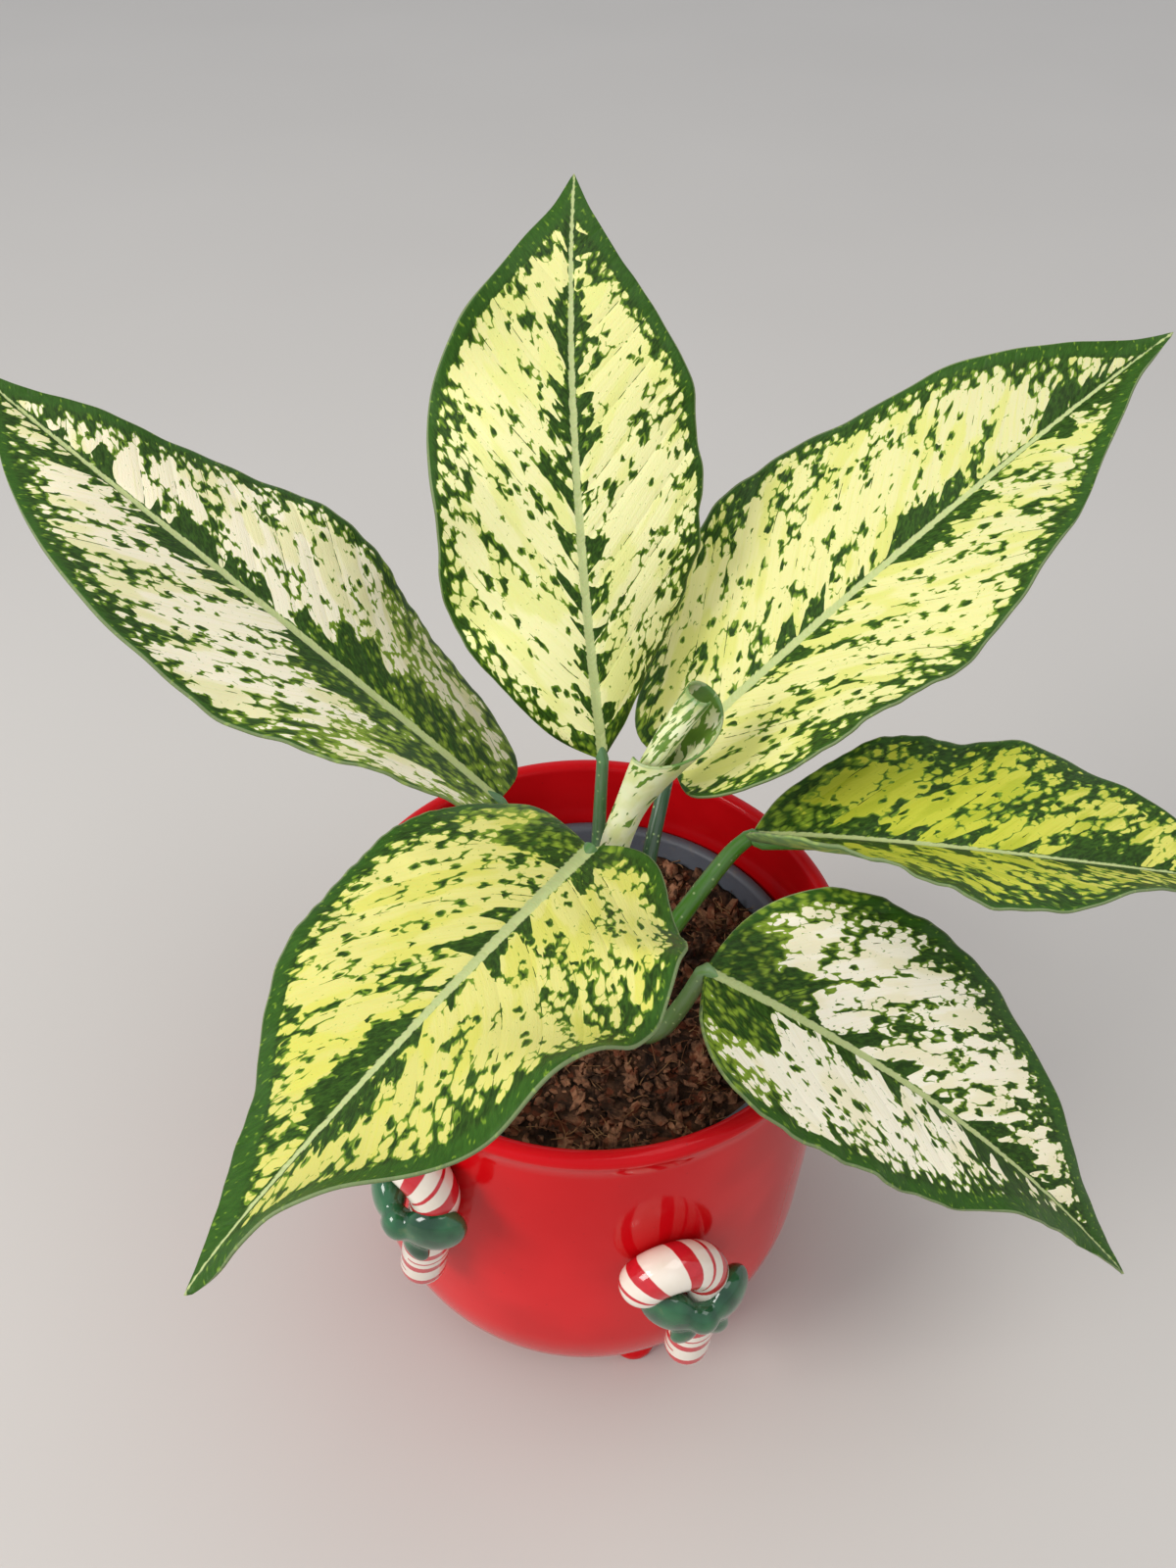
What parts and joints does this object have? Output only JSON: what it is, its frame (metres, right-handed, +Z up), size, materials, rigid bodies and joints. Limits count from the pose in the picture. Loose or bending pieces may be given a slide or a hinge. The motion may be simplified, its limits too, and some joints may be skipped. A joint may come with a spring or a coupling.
{
  "type": "potted chinese evergreen",
  "caption": "Chinese evergreen with blotched leaves in a nursery pot, set in a glossy red planter with candy canes and bows in relief.",
  "frame": {"origin": "on the planter's axis, at the level of the surface that its feet stand on, 2 mm below its flat underside", "axes": "+Z up the planter's axis; -Y towards the pictured front; +X to the viewer's right, along the part's longest extent"},
  "size_m": [0.2901, 0.2052, 0.261],
  "materials": {
    "red_glaze": "very glossy",
    "grey_plastic": "matte, slightly worn",
    "coir_soil": "rough, fibrous and crumbly",
    "leaf_stalk": "satin",
    "rolled_leaf": "satin",
    "leaf_blade": "satin, blotched yellow-green and cream on dark green",
    "cane_glaze": "glossy, ivory with red stripes",
    "bow_glaze": "glossy dark green"
  },
  "bodies": {
    "root": {"planter": "red_glaze", "nursery_pot": "grey_plastic", "soil": "coir_soil", "stem": "leaf_stalk", "new_leaf": "rolled_leaf", "leaf_back": "leaf_blade", "leaf_left": "leaf_blade", "leaf_right_back": "leaf_blade", "leaf_front_left": "leaf_blade", "leaf_front_right": "leaf_blade", "leaf_right": "leaf_blade", "cane_1": "cane_glaze", "cane_2": "cane_glaze", "cane_3": "cane_glaze", "cane_4": "cane_glaze", "cane_5": "cane_glaze", "cane_6": "cane_glaze", "bow_1": "bow_glaze", "bow_2": "bow_glaze", "bow_3": "bow_glaze", "bow_4": "bow_glaze", "bow_5": "bow_glaze", "bow_6": "bow_glaze"}
  },
  "joints": []
}
